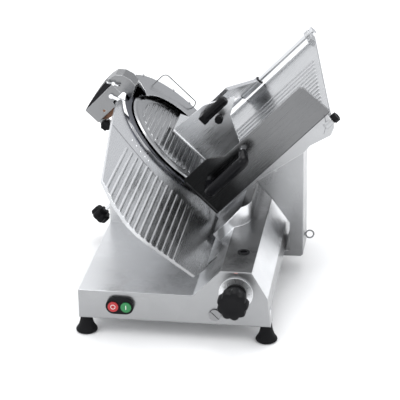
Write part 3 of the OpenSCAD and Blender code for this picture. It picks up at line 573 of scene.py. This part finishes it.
def face_place(node):
    """Matrix in millimetres at the middle of a node's front, with Z towards the front."""
    low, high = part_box(node)
    centre = Vector(((low.x + high.x) / 2, low.y, (low.z + high.z) / 2))
    return Matrix.Translation(centre) @ Matrix.Scale(MM, 4) @ FACING_FRONT


# ---------- knobs ----------


def lobed_profile(radius, height, start=0.0):
    """Profile rows of a lobed head with rounded rims and a shallow dish in its top."""
    ease = radius * 0.13
    return [
        (start, radius * 0.70, 0.4),
        (start + ease * 0.2, radius * 0.90, 0.9),
        (start + ease, radius * 0.995, 1.0),
        (start + height * 0.5, radius, 1.0),
        (start + height - ease, radius * 0.985, 1.0),
        (start + height - ease * 0.3, radius * 0.92, 0.9),
        (start + height, radius * 0.78, 0.5),
        (start + height, radius * 0.50, 0.0),
        (start + height - ease * 0.4, radius * 0.42, 0.0),
        (start + height - ease * 0.4, radius * 0.05, 0.0),
    ]


def axis_place(joint, origin):
    """Matrix in millimetres whose Z runs along a joint's axis, from origin."""
    turn = Vector(JOINTS[joint]["axis"]).to_track_quat("Z", "Y").to_matrix().to_4x4()
    return Matrix.Translation(origin) @ turn @ Matrix.Scale(MM, 4)


def add_thickness_knob():
    """Large lobed knob on a flared collar, in front of the dial."""
    collar = [(0.0, 20.6, 0), (3.6, 20.6, 0), (4.2, 20.0, 0), (4.6, 17.8, 0), (12, 19.0, 0), (29, 22.6, 0)]
    head = turned(collar + lobed_profile(30, 26, start=30), lobes=9, depth=0.13, steps=180)
    place = face_place("dial_disc")
    add_piece("thickness_knob_look", head, place, "black", "dial_unit", "thickness_knob")


def add_small_knobs():
    """Lobed knobs of the cover, tray end and sharpener: body, joint, centre, radius and height."""
    small = {
        "cover_knob": ("cover_clamp", "cover_knob_turn", (BLADE_DOWN, BLADE_BACK, -28), 20, 20),
        "tray_end_knob": ("tray_knob", "tray_knob_turn", (107, 285, 549.5), 10, 11.5),
        "sharpener_knob": ("sharpener_clamp", "sharpener_knob_turn", (-180, 429.5, 150), 11, 15),
    }
    stems = {"tray_end_knob": [(-15, 4, 0), (0, 4, 0)], "sharpener_knob": [(-8, 3, 0), (0, 3, 0)]}
    for node, (body, joint, centre, radius, height) in small.items():
        rows = stems.get(node, []) + lobed_profile(radius, height)
        if node == "cover_knob":
            nose = [(20, 9, 0), (26, 9, 0)]
            rows = rows[:-3] + nose
        head = turned(rows, lobes=7, depth=0.15, steps=140)
        place = axis_place(joint, TILTED @ Vector(centre))
        add_piece(node + "_look", head, place, "black", body, node)


# ---------- grips, wire and feet ----------


def add_hand_grip():
    """Bar that bends towards the tray wall at both ends, thickest in the middle."""
    lean = math.atan2(11, 49)
    leg_length = 29.5
    bend = 8
    end_radius = 9.9
    swell = 1.6
    swell_points = 9
    leg = Vector((-math.sin(lean), math.cos(lean), 0)) * leg_length
    low, high = Vector((38, 232, 279)), Vector((38, 232, 376))
    path = rounded_path([low + leg, low, high, high + leg], bend)
    last = len(path) - 1
    radii = []
    for i in range(len(path)):
        from_end = min(1, min(i, last - i) / swell_points)
        radii.append(end_radius + swell * math.sin(math.pi * from_end / 2))
    bar = swept(path, radii, steps=40)
    add_piece("hand_grip_look", bar, TILTED, "gloss", "carriage", "hand_grip")


def add_guard_wire():
    """The bent wire on the guard as one smooth bar."""
    reach = 170
    half_angle = math.radians(18.5)
    wire_radius = 1.25
    span = 2 * reach * math.sin(half_angle)
    outline = [(0, 244.7), (0, 268), (24, 269.2), (span - 6, 257.5), (span, 249), (span, 244.7)]
    place = (
        TILTED
        @ Matrix.Translation((BLADE_DOWN, BLADE_BACK, 0))
        @ Matrix.Rotation(math.radians(110.5), 4, "Z")
        @ Matrix.Translation((reach * math.cos(half_angle), span / 2, 0))
    )
    corners = [(0, -along, height) for along, height in outline]
    path = [Vector(corners[0])]
    path += rounded_path(corners[0:3], 11)[1:-1]
    path += rounded_path(corners[2:], 3.2)[1:]
    bar = swept(path, [wire_radius] * len(path), steps=20)
    add_piece("guard_wire_look", bar, place, "wire", "machine_base", "guard_wire")


def add_feet():
    """Bell-shaped rubber feet, drawn straight in the frame's own coordinates."""
    profile = [
        (0.0, 16.5, 0), (0.5, 18.6, 0), (1.6, 20.3, 0), (3.6, 21.0, 0), (5.4, 20.7, 0), (7.4, 19.4, 0),
        (10, 17.6, 0), (13, 15.8, 0), (17, 14.2, 0), (21, 13.0, 0), (26, 11.8, 0), (32, 11.0, 0),
        (36.9, 10.6, 0),
    ]
    low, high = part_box("rubber_feet")
    foot_radius = 21
    inset = foot_radius * MM
    feet = bmesh.new()
    for x in (low.x + inset, high.x - inset):
        for y in (low.y + inset, high.y - inset):
            foot = turned(profile, steps=72)
            data = bpy.data.meshes.new("foot")
            foot.to_mesh(data)
            foot.free()
            data.transform(Matrix.Translation((x, y, low.z)) @ Matrix.Scale(MM, 4))
            feet.from_mesh(data)
            bpy.data.meshes.remove(data)
    place = Matrix.Identity(4)
    add_piece("rubber_feet_look", feet, place, "rubber", "machine_base", "rubber_feet")


# ---------- marks ----------


def add_dial_marks():
    """Ticks and numerals on the dial's face, and the index mark and label above it."""
    face = face_place("dial_disc")
    ticks = 60
    tick_reach = 31.6
    numerals = 12
    numeral_reach = 25.0
    numeral_size = 4.4
    casting_depth = -4.0
    mesh = bmesh.new()
    for i in range(ticks):
        length = 3.6 if i % 5 == 0 else 2.0
        turn = Matrix.Rotation(2 * math.pi * i / ticks, 4, "Z")
        add_block(mesh, turn @ Matrix.Translation((0, tick_reach - length / 2, 0)), (0.35, length, 0.12))
    for i in range(numerals):
        turn = Matrix.Rotation(-2 * math.pi * i / numerals, 4, "Z")
        add_numeral(mesh, str(i), turn @ Matrix.Translation((0, numeral_reach, 0.0)), numeral_size)
    add_piece("dial_marks", mesh, face, "dark_ink_and_painted_shade", "dial_unit")

    mark = bmesh.new()
    add_block(mark, Matrix.Translation((0, 36.2, casting_depth)), (0.7, 4.4, 0.2))
    add_piece("index_mark", mark, face, "dark_ink_and_painted_shade", "machine_base")
    label = bmesh.new()
    add_block(label, Matrix.Translation((0, 41.3, casting_depth)), (7.0, 1.6, 0.16))
    add_piece("index_label", label, face, "label", "machine_base")


def add_button_marks():
    """Circle on the stop button and bar on the start button."""
    buttons = (("stop_button", "stop_key", "red_plastic"), ("start_button", "start_key", "green_plastic"))
    circle_steps = 36
    circle_radius = 4.2
    for node, body, slot in buttons:
        mesh = bmesh.new()
        if node == "stop_button":
            for i in range(circle_steps):
                turn = Matrix.Rotation(2 * math.pi * i / circle_steps, 4, "Z")
                add_block(mesh, turn @ Matrix.Translation((0, circle_radius, 0)), (0.85, 1.1, 0.1))
        else:
            add_block(mesh, Matrix.Identity(4), (1.2, 8.6, 0.1))
        add_piece(node + "_mark", mesh, face_place(node), "white_ink", body)


def add_gauge_details():
    """Pins in the thickness plate, and a fine double dark line of painted shade for the crease between its
    smooth and ribbed parts.
    """
    pin_places = ((-136.5, 286.2), (-123.2, 279.6), (-109.7, 273.5), (-96.9, 269.9), (-86.1, 266.5))
    pins = bmesh.new()
    for down, back in pin_places:
        head = Matrix.Translation((down, back, GAUGE_FACE)) @ Matrix.Diagonal((1, 1, 0.5, 1))
        bmesh.ops.create_uvsphere(pins, u_segments=24, v_segments=16, radius=2.3, matrix=head)
    add_piece("gauge_pins", pins, TILTED, "chrome", "gauge_unit")
    # Painted shade: two thin dark strips on the plate's face stand in for the shade in its crease.
    start, end = Vector((-188, 274, GAUGE_FACE)), Vector((-34, 224.5, GAUGE_FACE))
    turn = Matrix.Rotation(math.atan2(end.y - start.y, end.x - start.x), 4, "Z")
    painted_crease_shade = bmesh.new()
    for shift in (-0.9, 0.9):
        place = Matrix.Translation((start + end) / 2) @ turn @ Matrix.Translation((0, shift, 0))
        add_block(painted_crease_shade, place, ((end - start).length, 0.5, 0.3))
    add_piece("gauge_crease_painted_shade", painted_crease_shade, TILTED, "dark_ink_and_painted_shade", "gauge_unit")


def add_tray_details():
    """Dark strip of painted shade in the gap under the tray wall, and a curved strip of painted shadow beside
    the end knob.
    """
    wall = NODES["tray_wall"]
    to_tilted = TILTED.inverted() @ wall.matrix_world
    corners = [to_tilted @ vertex.co for vertex in wall.data.vertices]
    edge = max(corner.x for corner in corners)
    start, end = min(corner.z for corner in corners), max(corner.z for corner in corners)
    # Painted shade: a dark strip in the gap under the wall, then a curved dark strip for the shadow beside
    # the end knob.
    shade_strip_width = 1.2
    mesh = bmesh.new()
    shade_strip = Matrix.Translation((edge + shade_strip_width / 2, STRIP_FACE, (start + end) / 2))
    add_block(mesh, shade_strip, (shade_strip_width, 0.6, end - start - 6))
    rim = rounded_path([(86.9, STRIP_FACE, 544.7), (104, STRIP_FACE, 535), (115.3, STRIP_FACE, 516.7)], 12)
    for first, second in zip(rim, rim[1:]):
        turn = (second - first).to_track_quat("Z", "Y").to_matrix().to_4x4()
        place = Matrix.Translation((first + second) / 2) @ turn
        add_block(mesh, place, (2.4, 0.6, (second - first).length + 0.4))
    add_piece("tray_painted_shade", mesh, TILTED, "dark_ink_and_painted_shade", "carriage")


# ---------- the scene ----------

bpy.context.scene.view_settings.view_transform = "Standard"
add_camera()
add_world()
add_floor()
add_area_light("key", (-1.3, -1.3, 2.1), (0, 0, 0.2), 1.3, 15)
add_area_light("fill", (1.8, -1.4, 1.5), (0, 0, 0.2), 1.2, 6)
add_area_light("top", (0.1, 0.7, 2.4), (0, 0, 0.2), 1.5, 22)
dress_nodes()
add_thickness_knob()
add_small_knobs()
add_hand_grip()
add_guard_wire()
add_feet()
add_dial_marks()
add_button_marks()
add_gauge_details()
add_tray_details()
